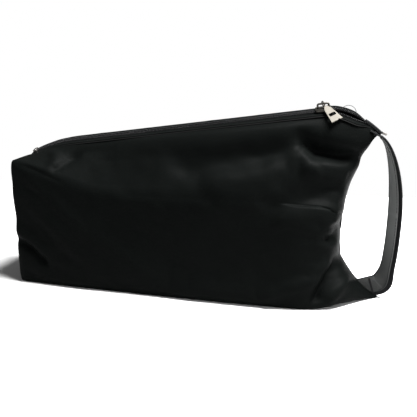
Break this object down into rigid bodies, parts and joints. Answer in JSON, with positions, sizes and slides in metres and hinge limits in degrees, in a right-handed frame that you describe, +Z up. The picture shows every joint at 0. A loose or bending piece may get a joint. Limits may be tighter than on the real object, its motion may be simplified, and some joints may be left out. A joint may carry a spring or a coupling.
{
  "type": "shoe bag",
  "caption": "Soft fabric pouch with a boxed base end, a flat handle end, a zip along its upper ridge and a webbing strap handle, for carrying shoes.",
  "frame": {"origin": "centre of the underside of the bag's box, on the surface that it lies on", "axes": "+X along the bag from the boxed base end to the strap, +Y from the front panel to the back panel, +Z up"},
  "size_m": [0.3745, 0.098, 0.186],
  "materials": {
    "nylon": "woven nylon, soft satin",
    "binding": "matt grosgrain tape",
    "zip_tape": "herringbone tape",
    "coil": "satin nylon coil",
    "stop_metal": "satin",
    "gunmetal": "aged, satin",
    "puller_metal": "aged, satin",
    "webbing": "ribbed webbing",
    "grey_facing": "ribbed webbing",
    "thread": "spun thread"
  },
  "bodies": {
    "bag": {"front_panel": "nylon", "back_panel": "nylon", "handle_end_binding": "binding", "bottom_seam_binding": "binding", "base_seam_binding": "binding", "box_binding_upper": "binding", "box_binding_lower": "binding", "zip_tape_front": "zip_tape", "zip_tape_back": "zip_tape", "zip_coil_front": "coil", "zip_coil_back": "coil", "base_stop": "stop_metal", "end_stop": "stop_metal", "end_tab": "webbing", "thread_loop": "thread", "strap_tail_upper": "webbing", "strap_tail_lower": "webbing", "bar_tack_upper": "thread", "bar_tack_lower": "thread"},
    "slider": {"slider_body": "gunmetal"},
    "puller": {"puller": "puller_metal"},
    "strap": {"strap_outer": "webbing", "strap_facing": "grey_facing"}
  },
  "joints": [
    {"name": "slider_travel", "type": "slide", "parent": "bag", "child": "slider", "axis": [0.9923, 0, 0.1236], "range_m": [-0.236, 0]},
    {"name": "puller_tilt", "type": "hinge", "parent": "slider", "child": "puller", "pos_m": [0.112, -0.0028, 0.18271], "axis": [-0.8349, -0.3892, -0.3892], "range_deg": [0, 210]},
    {"name": "strap_swing", "type": "hinge", "parent": "bag", "child": "strap", "pos_m": [0.165, 0, 0.012], "axis": [-0.0142, 0, 0.9999], "range_deg": [-45, 45]}
  ]
}
